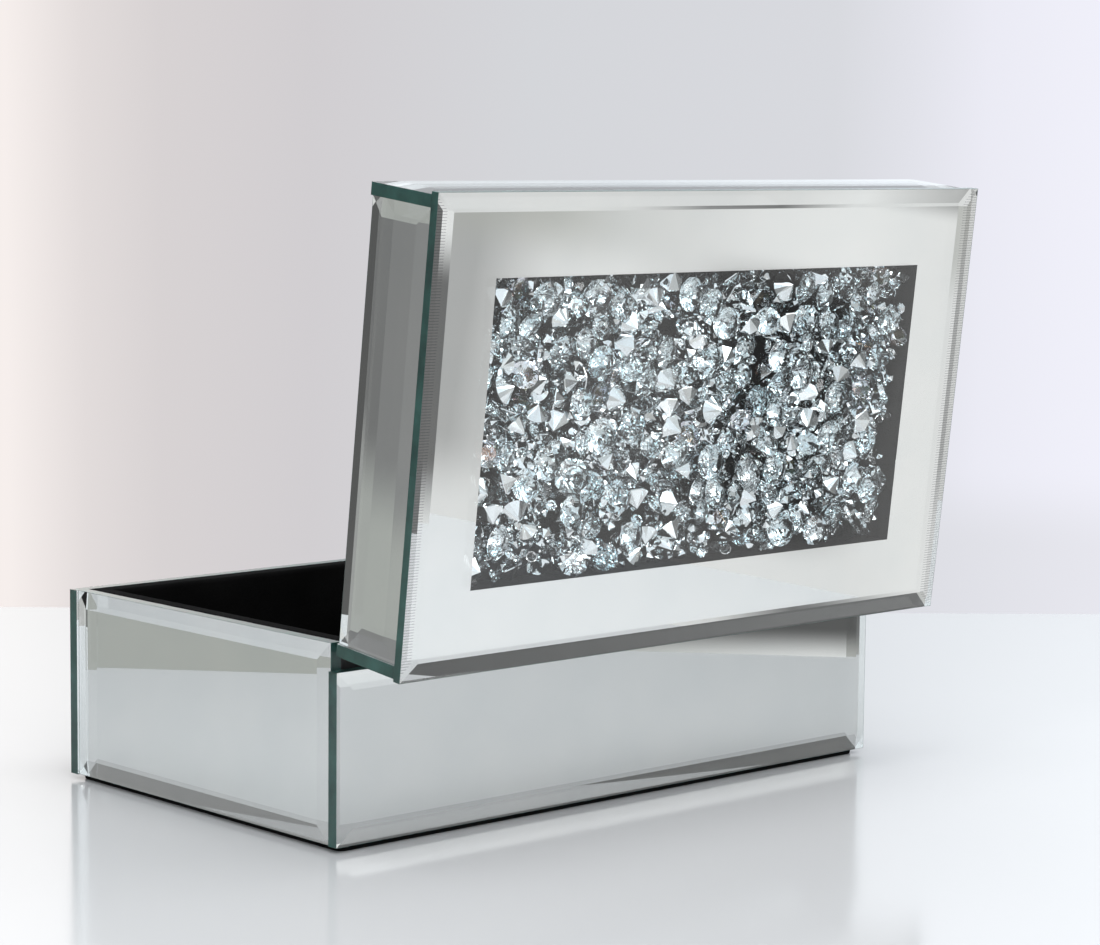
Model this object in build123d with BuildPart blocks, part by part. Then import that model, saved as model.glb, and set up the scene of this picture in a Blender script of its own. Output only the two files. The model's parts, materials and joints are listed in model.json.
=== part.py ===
"""Mirrored vanity trinket box with a crystal-filled window in its hinged lid.

Millimetres, +Z up.  X runs along the width, the opening side faces -Y and the hinges are at +Y.
The origin is the centre of the underside of the foot pad, which stands on the table.
The lid is drawn closed and set open by its hinge swing, which is how the box is displayed.
"""
import math
import os

from build123d import *

os.makedirs("parts", exist_ok=True)

# ---- driving dimensions -------------------------------------------------------------------
box_width = 250.0
box_depth = 152.0
base_height = 67.5
lid_height = 32.5
parting_gap = 1.0
open_angle = 96.5

glass_thickness = 5.0
lid_top_glass_thickness = 4.0
bevel_width = 6.0
bevel_drop = 0.9
rear_mirror_drop = 9.0

board_thickness = 6.0
floor_board_thickness = 5.0
window_frame_thickness = 11.5
backing_card_thickness = 1.5

foot_pad_thickness = 2.0
foot_pad_inset = 3.0
liner_thickness = 1.2
liner_edge_radius = 0.45
base_pad_thickness = 3.0
lid_pad_thickness = 2.5

window_width = 196.0
window_depth = 98.5
window_lap = 1.0
crystal_clearance = 0.5

hinge_spacing = 150.0
hinge_length = 32.0
knuckle_count = 5
knuckle_gap = 0.2
knuckle_radius = 1.5
pin_radius = 0.75
pin_running_clearance = 0.05
pin_seat_clearance = 0.01
pin_overhang = 0.4
leaf_thickness = 1.0
base_leaf_drop = 7.6
axis_inset = 3.2
axis_drop = 1.2
knuckle_clearance = 0.3
stop_lug_reach = 3.0
stop_lug_thickness = 1.45
stop_lug_clearance = 0.05

screw_length = 6.0
screw_radius = 1.0
screw_head_radius = 1.8
screw_head_depth = 0.8
screw_slot_width = 0.4
screw_clearance = 0.02
screw_offset = 10.0

# ---- derived places -----------------------------------------------------------------------
half_width = box_width / 2
half_depth = box_depth / 2

core_width = box_width - 2 * glass_thickness
core_depth = box_depth - 2 * glass_thickness
board_rear_face = core_depth / 2
well_width = core_width - 2 * board_thickness
well_depth = core_depth - 2 * board_thickness
lined_width = well_width - 2 * liner_thickness
lined_depth = well_depth - 2 * liner_thickness

base_wall_bottom = foot_pad_thickness + floor_board_thickness
base_board_top = base_height - liner_thickness
rear_mirror_top = base_height - rear_mirror_drop

lid_rim = base_height + parting_gap
lid_top = lid_rim + lid_height
lid_strip_top = lid_top - lid_top_glass_thickness
lid_strip_height = lid_strip_top - lid_rim
lid_board_bottom = lid_rim + liner_thickness
window_frame_bottom = lid_strip_top - window_frame_thickness
backing_card_bottom = window_frame_bottom - backing_card_thickness
lid_pad_bottom = backing_card_bottom - lid_pad_thickness

axis_y = half_depth - axis_inset
axis_z = base_height - axis_drop
hinge_centres = {"left": hinge_spacing / 2, "right": -hinge_spacing / 2}
knuckle_length = (hinge_length - (knuckle_count - 1) * knuckle_gap) / knuckle_count
knuckle_pitch = knuckle_length + knuckle_gap
leaf_front = board_rear_face
leaf_rear = board_rear_face + leaf_thickness
base_leaf_top = axis_z - knuckle_radius - knuckle_clearance
base_leaf_bottom = axis_z - base_leaf_drop
lid_leaf_front = board_rear_face - board_thickness
lid_leaf_face = lid_board_bottom - leaf_thickness

# The swing that carries a closed lid to the open position, about the hinge axis.
lid_swing = (
    Location((0, axis_y, axis_z))
    * Location((0, 0, 0), (-open_angle, 0, 0))
    * Location((0, -axis_y, -axis_z))
)


def on_lid(plane):
    """A plane drawn on the closed lid, carried to where the open lid holds it."""
    return Plane(lid_swing * plane.location)


def on_base(plane):
    """A plane drawn on the base, which never moves."""
    return plane


def finish(builder, name):
    """Label a finished sub-part and write it as its own file."""
    builder.part.label = name
    export_step(builder.part, f"parts/{name}.step")


# ---- mirror panels ------------------------------------------------------------------------
def wall_plane(side, height):
    """Plane on the back of a wall mirror, its normal pointing out of the box."""
    outward = {"front": (0, -1, 0), "rear": (0, 1, 0), "left": (1, 0, 0), "right": (-1, 0, 0)}[side]
    reach = half_depth if side in ("front", "rear") else half_width
    reach = reach - glass_thickness
    origin = (outward[0] * reach, outward[1] * reach, height)
    along = (1, 0, 0) if side in ("front", "rear") else (0, 1, 0)
    return Plane(origin=origin, x_dir=along, z_dir=outward)


def bevelled_mirror(name, back_plane, width, height, thickness=glass_thickness):
    """Glass panel with a square edge and a wide flat bevel all round its face."""
    edge_thickness = thickness - bevel_drop
    with BuildPart() as mirror:
        with BuildSketch(back_plane):
            Rectangle(width, height)
        extrude(amount=edge_thickness)
        with BuildSketch(back_plane.offset(edge_thickness)):
            Rectangle(width, height)
        with BuildSketch(back_plane.offset(thickness)):
            Rectangle(width - 2 * bevel_width, height - 2 * bevel_width)
        loft()
    finish(mirror, name)


def wall_mirrors(prefix, place, bottom, tops):
    """Front and rear panels run the full width and cover the ends of the side panels."""
    for side, top in tops.items():
        height = top - bottom
        width = box_width if side in ("front", "rear") else core_depth
        plane = place(wall_plane(side, bottom + height / 2))
        bevelled_mirror(f"{prefix}_{side}_mirror", plane, width, height)


wall_mirrors(
    "base",
    on_base,
    foot_pad_thickness,
    {"front": base_height, "rear": rear_mirror_top, "left": base_height, "right": base_height},
)
wall_mirrors("lid", on_lid, lid_rim, dict.fromkeys(("front", "rear", "left", "right"), lid_strip_top))
bevelled_mirror(
    "lid_top_mirror",
    on_lid(Plane.XY.offset(lid_strip_top)),
    box_width,
    box_depth,
    lid_top_glass_thickness,
)


# ---- hinge screws -------------------------------------------------------------------------
def screw_form(head_plane, grow=0.0, mode=Mode.ADD):
    """Countersunk screw below its head plane, or with Mode.SUBTRACT the hole for one."""
    with BuildSketch(head_plane) as shank:
        Circle(screw_radius + grow)
    extrude(shank.sketch, amount=-screw_length - grow, mode=mode)
    with BuildSketch(head_plane) as head:
        Circle(screw_head_radius + grow)
    with BuildSketch(head_plane.offset(-screw_head_depth)) as neck:
        Circle(screw_radius + grow)
    loft([head.sketch, neck.sketch], mode=mode)


def screw_planes(part_of_hinge):
    """Head planes of the screws of both base leaves, or of both lid leaves."""
    planes = []
    for centre in hinge_centres.values():
        for side in (-1, 1):
            x = centre + side * screw_offset
            if part_of_hinge == "base":
                origin = (x, leaf_rear, (base_leaf_top + base_leaf_bottom) / 2)
                planes.append(Plane(origin=origin, x_dir=(1, 0, 0), z_dir=(0, 1, 0)))
            else:
                origin = (x, (lid_leaf_front + leaf_front) / 2, lid_leaf_face)
                planes.append(on_lid(Plane(origin=origin, x_dir=(1, 0, 0), z_dir=(0, 0, -1))))
    return planes


def hinge_screws(name, part_of_hinge):
    """All the screws of one kind of leaf, as a group of separate slotted screws."""
    with BuildPart() as screws:
        for plane in screw_planes(part_of_hinge):
            screw_form(plane)
            with BuildSketch(plane):
                Rectangle(2 * screw_head_radius, screw_slot_width)
            extrude(amount=-screw_slot_width, mode=Mode.SUBTRACT)
    finish(screws, name)


hinge_screws("base_hinge_screws", "base")
hinge_screws("lid_hinge_screws", "lid")


# ---- core boards --------------------------------------------------------------------------
with BuildPart() as foot_pad:
    with BuildSketch():
        RectangleRounded(box_width - 2 * foot_pad_inset, box_depth - 2 * foot_pad_inset, foot_pad_inset)
    extrude(amount=foot_pad_thickness)
finish(foot_pad, "foot_pad")

with BuildPart() as base_floor_board:
    with BuildSketch(Plane.XY.offset(foot_pad_thickness)):
        Rectangle(core_width, core_depth)
    extrude(amount=floor_board_thickness)
finish(base_floor_board, "base_floor_board")


def wall_boards(prefix, place, bottom, top, part_of_hinge):
    """Four wall boards; the long ones run the full core width, the rear one takes the screws."""
    inner_y = core_depth / 2 - board_thickness / 2
    inner_x = core_width / 2 - board_thickness / 2
    layout = {
        "front": (0, -inner_y, core_width, board_thickness),
        "rear": (0, inner_y, core_width, board_thickness),
        "left": (inner_x, 0, board_thickness, well_depth),
        "right": (-inner_x, 0, board_thickness, well_depth),
    }
    for side, (x, y, width, depth) in layout.items():
        with BuildPart() as board:
            with BuildSketch(place(Plane.XY.offset(bottom))):
                with Locations((x, y)):
                    Rectangle(width, depth)
            extrude(amount=top - bottom)
            if side == "rear":
                for plane in screw_planes(part_of_hinge):
                    screw_form(plane, screw_clearance, Mode.SUBTRACT)
        finish(board, f"{prefix}_{side}_board")


wall_boards("base", on_base, base_wall_bottom, base_board_top, "base")
wall_boards("lid", on_lid, lid_board_bottom, window_frame_bottom, "lid")

# ---- crystal window in the lid ------------------------------------------------------------
with BuildPart() as lid_window_frame:
    with BuildSketch(on_lid(Plane.XY.offset(window_frame_bottom))):
        Rectangle(core_width, core_depth)
        Rectangle(window_width + 2 * window_lap, window_depth + 2 * window_lap, mode=Mode.SUBTRACT)
    extrude(amount=window_frame_thickness)
finish(lid_window_frame, "lid_window_frame")

with BuildPart() as crystal_fill:
    with BuildSketch(on_lid(Plane.XY.offset(window_frame_bottom))):
        Rectangle(
            window_width + 2 * window_lap - 2 * crystal_clearance,
            window_depth + 2 * window_lap - 2 * crystal_clearance,
        )
    extrude(amount=window_frame_thickness)
finish(crystal_fill, "crystal_fill")

with BuildPart() as crystal_backing_card:
    with BuildSketch(on_lid(Plane.XY.offset(backing_card_bottom))):
        Rectangle(well_width, well_depth)
    extrude(amount=backing_card_thickness)
finish(crystal_backing_card, "crystal_backing_card")


# ---- velvet lining ------------------------------------------------------------------------
def wall_strip(plane, side, offset, span, thickness):
    """Sketch of a strip along one wall: offset is from the box's centre to the strip's middle."""
    across_y = side in ("front", "rear")
    sign = 1 if side in ("rear", "left") else -1
    with BuildSketch(plane) as strip:
        with Locations((0, sign * offset) if across_y else (sign * offset, 0)):
            Rectangle(span if across_y else thickness, thickness if across_y else span)
    return strip.sketch


def wall_liners(prefix, place, rim, root):
    """Velvet strips down each wall, turned out over the rim to meet the mirror's back.

    rim and root are the heights of a strip's outer and inner ends; the lid's strips hang down.
    """
    inward = math.copysign(1, root - rim)
    rim_plane = place(Plane.XY.offset(rim))
    for side in ("front", "rear", "left", "right"):
        across_y = side in ("front", "rear")
        wall = (well_depth if across_y else well_width) / 2
        rim_middle = wall + board_thickness / 2
        with BuildPart() as liner:
            span = well_width if across_y else lined_depth
            face = wall_strip(rim_plane, side, wall - liner_thickness / 2, span, liner_thickness)
            extrude(face, amount=inward * abs(root - rim))
            span = core_width if across_y else well_depth
            turned = wall_strip(rim_plane, side, rim_middle, span, board_thickness)
            extrude(turned, amount=inward * liner_thickness)
            if prefix == "lid" and side == "rear":
                with BuildSketch(rim_plane) as leaf_notches:
                    with Locations(*[(centre, rim_middle) for centre in hinge_centres.values()]):
                        Rectangle(hinge_length + 2 * knuckle_clearance, board_thickness)
                extrude(leaf_notches.sketch, amount=inward * liner_thickness, mode=Mode.SUBTRACT)
            sign = 1 if side in ("rear", "left") else -1
            reach = sign * (wall - liner_thickness)
            well_edge = rim_plane.from_local_coords((0, reach, 0) if across_y else (reach, 0, 0))
            fillet(liner.edges().sort_by_distance(well_edge)[0], liner_edge_radius)
        finish(liner, f"{prefix}_{side}_liner")


wall_liners("base", on_base, base_height, base_wall_bottom)
wall_liners("lid", on_lid, lid_rim, backing_card_bottom)


def lining_pad(name, plane, thickness):
    """Soft velvet pad that fills the lined well from wall to wall."""
    with BuildPart() as pad:
        with BuildSketch(plane):
            Rectangle(lined_width, lined_depth)
        extrude(amount=thickness)
    finish(pad, name)


lining_pad("base_floor_pad", Plane.XY.offset(base_wall_bottom), base_pad_thickness)
lining_pad("lid_ceiling_pad", on_lid(Plane.XY.offset(lid_pad_bottom)), lid_pad_thickness)


# ---- hinges -------------------------------------------------------------------------------
def hinge_section(centre, start_index):
    """Start and length of every second knuckle along X, from the given one."""
    first = centre - hinge_length / 2
    return [first + index * knuckle_pitch for index in range(start_index, knuckle_count, 2)]


def section_plane(x):
    """Upright plane across the hinge at x, with local x along +Y and local y along +Z."""
    return Plane(origin=(x, 0, 0), x_dir=(0, 1, 0), z_dir=(1, 0, 0))


def knuckles(place, starts, outline, bore_radius):
    """Barrel segments with their webs, bored for the pin."""
    for start in starts:
        with BuildSketch(place(section_plane(start))) as barrel:
            with Locations((axis_y, axis_z)):
                Circle(knuckle_radius)
            with BuildLine():
                Polyline(*outline, close=True)
            make_face()
        extrude(barrel.sketch, amount=knuckle_length)
        with BuildSketch(place(section_plane(start))) as bore:
            with Locations((axis_y, axis_z)):
                Circle(bore_radius)
        extrude(bore.sketch, amount=knuckle_length, mode=Mode.SUBTRACT)


base_web = [
    (leaf_front, base_leaf_bottom),
    (leaf_rear, base_leaf_bottom),
    (leaf_rear, axis_z - knuckle_radius / 2),
    (axis_y, axis_z),
    (axis_y - knuckle_radius, axis_z),
    (leaf_front, axis_z - knuckle_radius / 2),
]
web_underside = base_height + knuckle_clearance
lid_web = [
    (leaf_front - leaf_thickness, lid_board_bottom),
    (leaf_front, lid_board_bottom),
    (leaf_front, lid_rim - screw_clearance),
    (axis_y, axis_z + knuckle_radius),
    (axis_y, axis_z),
    (axis_y - knuckle_radius, axis_z),
    (axis_y - knuckle_radius, web_underside),
    (leaf_front - leaf_thickness, web_underside),
]
lug_front = leaf_rear + stop_lug_clearance
lug_bottom = axis_z - stop_lug_reach
lug_height = stop_lug_reach - (knuckle_radius + pin_radius) / 2

for hand, centre in hinge_centres.items():
    with BuildPart() as base_leaf:
        with BuildSketch(Plane.XY.offset(base_leaf_bottom)):
            with Locations((centre, (leaf_front + leaf_rear) / 2)):
                Rectangle(hinge_length, leaf_thickness)
        extrude(amount=base_leaf_top - base_leaf_bottom)
        knuckles(on_base, hinge_section(centre, 0), base_web, pin_radius + pin_seat_clearance)
        for plane in screw_planes("base"):
            screw_form(plane, screw_clearance, Mode.SUBTRACT)
    finish(base_leaf, f"{hand}_hinge_base_leaf")

    with BuildPart() as lid_leaf:
        with BuildSketch(on_lid(Plane.XY.offset(lid_leaf_face))):
            with Locations((centre, (lid_leaf_front + leaf_front) / 2)):
                Rectangle(hinge_length, board_thickness)
        extrude(amount=leaf_thickness)
        knuckles(on_lid, hinge_section(centre, 1), lid_web, pin_radius + pin_running_clearance)
        # A stop lug hangs from each lid knuckle and meets the base leaf when the lid is open.
        for start in hinge_section(centre, 1):
            with BuildSketch(section_plane(start)):
                with Locations((lug_front + stop_lug_thickness / 2, lug_bottom + lug_height / 2)):
                    Rectangle(stop_lug_thickness, lug_height)
            extrude(amount=knuckle_length)
        for plane in screw_planes("lid"):
            screw_form(plane, screw_clearance, Mode.SUBTRACT)
    finish(lid_leaf, f"{hand}_hinge_lid_leaf")

    with BuildPart() as pin:
        with BuildSketch(section_plane(centre - hinge_length / 2 - pin_overhang)):
            with Locations((axis_y, axis_z)):
                Circle(pin_radius)
        extrude(amount=hinge_length + 2 * pin_overhang)
        chamfer(pin.edges().filter_by(GeomType.CIRCLE), pin_overhang / 2)
    finish(pin, f"{hand}_hinge_pin")
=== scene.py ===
"""Looks of the mirrored trinket box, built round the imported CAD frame.  Metres, +Z up."""
import json
import math

import bmesh
import bpy
import numpy as np
from mathutils import Matrix, Vector, noise


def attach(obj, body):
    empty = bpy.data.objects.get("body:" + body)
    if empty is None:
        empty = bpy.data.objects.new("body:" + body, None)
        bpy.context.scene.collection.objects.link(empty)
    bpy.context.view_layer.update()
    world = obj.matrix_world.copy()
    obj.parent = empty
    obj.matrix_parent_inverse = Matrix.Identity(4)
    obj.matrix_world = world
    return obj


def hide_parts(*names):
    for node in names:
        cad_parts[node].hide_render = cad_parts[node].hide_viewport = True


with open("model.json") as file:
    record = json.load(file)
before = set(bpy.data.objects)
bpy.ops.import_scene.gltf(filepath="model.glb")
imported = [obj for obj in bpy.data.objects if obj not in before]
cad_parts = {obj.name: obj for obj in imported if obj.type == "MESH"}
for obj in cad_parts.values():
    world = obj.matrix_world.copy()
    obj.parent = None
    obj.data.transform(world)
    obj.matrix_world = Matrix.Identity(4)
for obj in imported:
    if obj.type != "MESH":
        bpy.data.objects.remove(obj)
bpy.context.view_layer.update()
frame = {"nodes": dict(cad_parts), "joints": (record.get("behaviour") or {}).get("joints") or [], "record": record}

MM = 0.001
rng = np.random.default_rng(11)

# ---- where things are ---------------------------------------------------------------------
hinge = frame["joints"][0]
hinge_point = Vector(hinge["pos_m"])
open_angle = math.radians(hinge["range_deg"][1])
closed_to_open = (
    Matrix.Translation(hinge_point)
    @ Matrix.Rotation(-open_angle, 4, "X")
    @ Matrix.Translation(-hinge_point)
)
bodies = frame["record"]["behaviour"]["bodies"]
body_of_node = {name: body for body, names in bodies.items() for name in names}


def home_matrix(cad_node):
    """The matrix from a node's home pose, where its body is level, to its pose at rest."""
    return closed_to_open if body_of_node[cad_node] == "lid" else Matrix.Identity(4)


def home_box(cad_node):
    """Lowest and highest corners of a CAD node with its body level, as when the box is shut."""
    back = home_matrix(cad_node).inverted()
    points = np.array([back @ v.co for v in frame["nodes"][cad_node].data.vertices])
    return Vector(points.min(0)), Vector(points.max(0))


# ---- mesh helpers -------------------------------------------------------------------------
def new_object(name, verts, faces, materials, face_materials=None, smooth=False):
    mesh = bpy.data.meshes.new(name)
    mesh.from_pydata([tuple(v) for v in verts], [], [tuple(f) for f in faces])
    for mat in materials:
        mesh.materials.append(mat)
    if face_materials is not None:
        mesh.polygons.foreach_set("material_index", np.asarray(face_materials, np.int32))
    mesh.polygons.foreach_set("use_smooth", np.full(len(mesh.polygons), smooth))
    mesh.validate()
    mesh.update()
    obj = bpy.data.objects.new(name, mesh)
    bpy.context.scene.collection.objects.link(obj)
    return obj


def settle_piece(obj, cad_node):
    """Carry a piece built level with its node's body to the rest pose and let it ride there."""
    obj.data.transform(home_matrix(cad_node))
    obj.data.update()
    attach(obj, body_of_node[cad_node])


# ---- materials ----------------------------------------------------------------------------
# Spacing of the darker lines painted into the lid top's silver as the shade of fine ribs.
SHADE_LINE_PITCH = 0.9 * MM


def material(name, **sockets):
    """Principled material; sockets are set by name with underscores for spaces."""
    mat = bpy.data.materials.new(name)
    mat.use_nodes = True
    shader = mat.node_tree.nodes["Principled BSDF"]
    for key, value in sockets.items():
        shader.inputs[key.replace("_", " ")].default_value = value
    return mat, mat.node_tree, shader


def node(tree, kind, **settings):
    """New shader node; settings that start with in_ are values of its inputs."""
    made = tree.nodes.new(kind)
    for key, value in settings.items():
        if key.startswith("in_"):
            made.inputs[key[3:].replace("_", " ")].default_value = value
        else:
            setattr(made, key, value)
    return made


def noise_texture(tree, scale, detail=3.0, roughness=0.5):
    """Object-space noise between 0 and 1."""
    place = node(tree, "ShaderNodeTexCoord")
    grain = node(tree, "ShaderNodeTexNoise", in_Scale=scale, in_Detail=detail, in_Roughness=roughness)
    tree.links.new(place.outputs["Object"], grain.inputs["Vector"])
    return grain.outputs["Fac"]


def ramp(tree, fac, stops):
    """Colour ramp through (position, colour) stops."""
    made = node(tree, "ShaderNodeValToRGB")
    elements = made.color_ramp.elements
    while len(elements) > 1:
        elements.remove(elements[-1])
    for index, (position, colour) in enumerate(stops):
        element = elements[0] if index == 0 else elements.new(position)
        element.position = position
        element.color = (*colour, 1) if len(colour) == 3 else colour
    tree.links.new(fac, made.inputs["Fac"])
    return made.outputs["Color"]


def grey(value):
    return (value, value, value)


def bump(tree, height, shader, strength, distance):
    made = node(tree, "ShaderNodeBump", in_Strength=strength, in_Distance=distance)
    tree.links.new(height, made.inputs["Height"])
    tree.links.new(made.outputs["Normal"], shader.inputs["Normal"])


def glass_material(name):
    """Float glass: clear through the panel, green along it, with the faintest surface waviness."""
    mat, tree, shader = material(
        name, Base_Color=(1, 1, 1, 1), Roughness=0.0, IOR=1.52, Transmission_Weight=1.0
    )
    waviness = noise_texture(tree, scale=14.0, detail=1.0)
    bump(tree, waviness, shader, strength=0.05, distance=0.0006)
    absorb = node(tree, "ShaderNodeVolumeAbsorption", in_Color=(0.5, 0.84, 0.8, 1), in_Density=7.0)
    tree.links.new(absorb.outputs["Volume"], tree.nodes["Material Output"].inputs["Volume"])
    return mat


def silver_material():
    """Silver coating with the faintest haze."""
    mat, tree, shader = material("silvering", Metallic=1.0, Roughness=0.0)
    haze = noise_texture(tree, scale=40.0, detail=4.0)
    tone = ramp(tree, haze, [(0.3, (0.91, 0.92, 0.915)), (0.7, (0.95, 0.95, 0.94))])
    tree.links.new(tone, shader.inputs["Base Color"])
    return mat


def shade_lined_silver_material():
    """Silver with fine darker lines, evenly spaced at the line pitch set above, along the lid's side edges:
    painted shade standing in for fine ribs, which are not modelled.
    """
    mat, tree, shader = material("shade_lined_silvering", Metallic=1.0, Roughness=0.0)
    place = node(tree, "ShaderNodeTexCoord")
    height = node(tree, "ShaderNodeVectorMath", operation="DOT_PRODUCT")
    height.inputs[1].default_value = closed_to_open.to_3x3() @ Vector((0, 1 / SHADE_LINE_PITCH, 0))
    tree.links.new(place.outputs["Object"], height.inputs[0])
    shade_line = node(tree, "ShaderNodeMath", operation="PINGPONG")
    shade_line.inputs[1].default_value = 0.5
    tree.links.new(height.outputs["Value"], shade_line.inputs[0])
    tone = ramp(tree, shade_line.outputs[0], [(0.1, (0.7, 0.7, 0.71)), (0.25, (0.95, 0.95, 0.94))])
    tree.links.new(tone, shader.inputs["Base Color"])
    return mat


def edge_material():
    """Ground edge of the glass: dark bottle green with paler streaks along it."""
    mat, tree, shader = material("ground_edge", Roughness=0.45)
    streaks = noise_texture(tree, scale=60.0, detail=4.0, roughness=0.6)
    tone = ramp(tree, streaks, [(0.3, (0.016, 0.08, 0.068)), (0.75, (0.06, 0.21, 0.18))])
    tree.links.new(tone, shader.inputs["Base Color"])
    bump(tree, noise_texture(tree, scale=1500.0), shader, strength=0.3, distance=0.0001)
    return mat


def velvet_material(name, low, high, sheen):
    """Pile between two tones, with a cool sheen."""
    mat, tree, shader = material(
        name, Roughness=0.95, Sheen_Weight=sheen, Sheen_Roughness=0.35, Specular_IOR_Level=0.05
    )
    shader.inputs["Sheen Tint"].default_value = (0.55, 0.56, 0.6, 1)
    pile = noise_texture(tree, scale=2600.0, detail=2.0, roughness=0.7)
    nap = noise_texture(tree, scale=55.0)
    blend = node(tree, "ShaderNodeMath", operation="MULTIPLY")
    tree.links.new(pile, blend.inputs[0])
    tree.links.new(nap, blend.inputs[1])
    tone = ramp(tree, blend.outputs[0], [(0.12, low), (0.42, high)])
    tree.links.new(tone, shader.inputs["Base Color"])
    bump(tree, pile, shader, strength=0.6, distance=0.0002)
    return mat


def board_material(name):
    """Black paper or paint with its fibre showing."""
    mat, tree, shader = material(name, Roughness=0.7)
    fibre = noise_texture(tree, scale=900.0, detail=4.0, roughness=0.6)
    tone = ramp(tree, fibre, [(0.3, grey(0.006)), (0.75, grey(0.02))])
    tree.links.new(tone, shader.inputs["Base Color"])
    bump(tree, fibre, shader, strength=0.35, distance=0.0002)
    return mat


ROUGHNESS_SPREAD = 0.18


def steel_material(name, low, high, roughness, metallic):
    """Steel between two tones, rougher where it is paler."""
    mat, tree, shader = material(name, Metallic=metallic)
    wear = noise_texture(tree, scale=700.0, detail=5.0, roughness=0.65)
    tone = ramp(tree, wear, [(0.35, low), (0.8, high)])
    tree.links.new(tone, shader.inputs["Base Color"])
    gloss = ramp(tree, wear, [(0.3, grey(roughness)), (0.8, grey(roughness + ROUGHNESS_SPREAD))])
    tree.links.new(gloss, shader.inputs["Roughness"])
    return mat


def crystal_material(name, tint, film):
    """Cut glass; film is the thickness of its coating in nanometres."""
    mat, tree, shader = material(
        name,
        Roughness=0.0,
        IOR=1.56,
        Transmission_Weight=1.0,
        Thin_Film_Thickness=film,
        Thin_Film_IOR=1.45,
    )
    shade = noise_texture(tree, scale=90.0, detail=1.0)
    tone = ramp(tree, shade, [(0.35, tint), (0.65, (0.985, 0.995, 1.0))])
    tree.links.new(tone, shader.inputs["Base Color"])
    return mat


def foil_material():
    """Foil on the back of a stone."""
    mat, tree, shader = material("crystal_foil", Metallic=1.0, Roughness=0.06)
    shade = noise_texture(tree, scale=70.0, detail=2.0)
    tone = ramp(tree, shade, [(0.3, (0.91, 0.965, 0.985)), (0.7, (0.965, 0.99, 0.995))])
    tree.links.new(tone, shader.inputs["Base Color"])
    return mat


mirror_glass = glass_material("mirror_glass")
silvering = silver_material()
shade_lined_silvering = shade_lined_silver_material()
ground_edge = edge_material()
velvet = velvet_material("black_velvet", grey(0.001), grey(0.004), sheen=0.012)
felt = velvet_material("black_felt", grey(0.004), grey(0.012), sheen=0.03)
board = board_material("black_board")
card = board_material("black_card")
lacquered_steel = steel_material("black_steel", grey(0.012), grey(0.05), roughness=0.32, metallic=0.6)
pin_steel = steel_material("pin_steel", grey(0.32), grey(0.5), roughness=0.22, metallic=1.0)
screw_steel = steel_material("screw_steel", grey(0.03), grey(0.1), roughness=0.3, metallic=0.9)
crystal_clear = crystal_material("crystal_clear", tint=(0.91, 0.98, 0.995), film=0.0)
crystal_fire = crystal_material("crystal_fire", tint=(0.92, 0.92, 0.98), film=420.0)
crystal_foil = foil_material()

by_slot = {
    "mirror_glass": mirror_glass,
    "window_glass": mirror_glass,
    "black_board": board,
    "black_velvet": velvet,
    "black_felt": felt,
    "black_card": card,
    "crystal": crystal_clear,
    "black_steel": lacquered_steel,
    "pin_steel": pin_steel,
    "screw_steel": screw_steel,
}
for entry in frame["record"]["subparts"]:
    mesh = frame["nodes"][entry["node"]].data
    mesh.materials.clear()
    mesh.materials.append(by_slot[entry["material_slot"]])

# ---- silver and ground edges --------------------------------------------------------------
# Each glass panel gets a thin tray just inside it: silver across the back, and walls that give
# the ground edge its dark green.  The walls stop below the bevel.
TRAY_INSET = 0.05 * MM
TRAY_WALL = 0.05 * MM
SILVER_DEPTH = 0.03 * MM
SILVER_THICKNESS = 0.05 * MM
BEVEL_DROP = 0.9 * MM
ARRIS = 0.06 * MM
# Margin of the lid top's silver; on two of its sides the silver carries painted shade lines for fine ribs.
SHADE_LINED_MARGIN = 5.6 * MM
WINDOW_MARGIN = 0.5 * MM
# Slots of the tray: silver, ground edge, and silver with painted rib shade lines.
SILVER, EDGE, SHADE_LINED_SLOT = range(3)
WALL_BANDS = 2
SHADE_LINED_BAND = 3
SHADE_LINED_SIDES = (1, 3)


def box_ring(lo, hi, inset, level, axis):
    """Four corners of a rectangle across an axis, drawn in from a box's sides."""
    u, v = [a for a in range(3) if a != axis]
    corners = []
    for at_u, at_v in ((lo[u], lo[v]), (hi[u], lo[v]), (hi[u], hi[v]), (lo[u], hi[v])):
        point = [0.0, 0.0, 0.0]
        point[u] = at_u + inset if at_u == lo[u] else at_u - inset
        point[v] = at_v + inset if at_v == lo[v] else at_v - inset
        point[axis] = level
        corners.append(tuple(point))
    return corners


def face_outward(obj):
    """Turn every face of a closed mesh outwards."""
    shell = bmesh.new()
    shell.from_mesh(obj.data)
    bmesh.ops.recalc_face_normals(shell, faces=shell.faces)
    shell.to_mesh(obj.data)
    shell.free()


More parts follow.
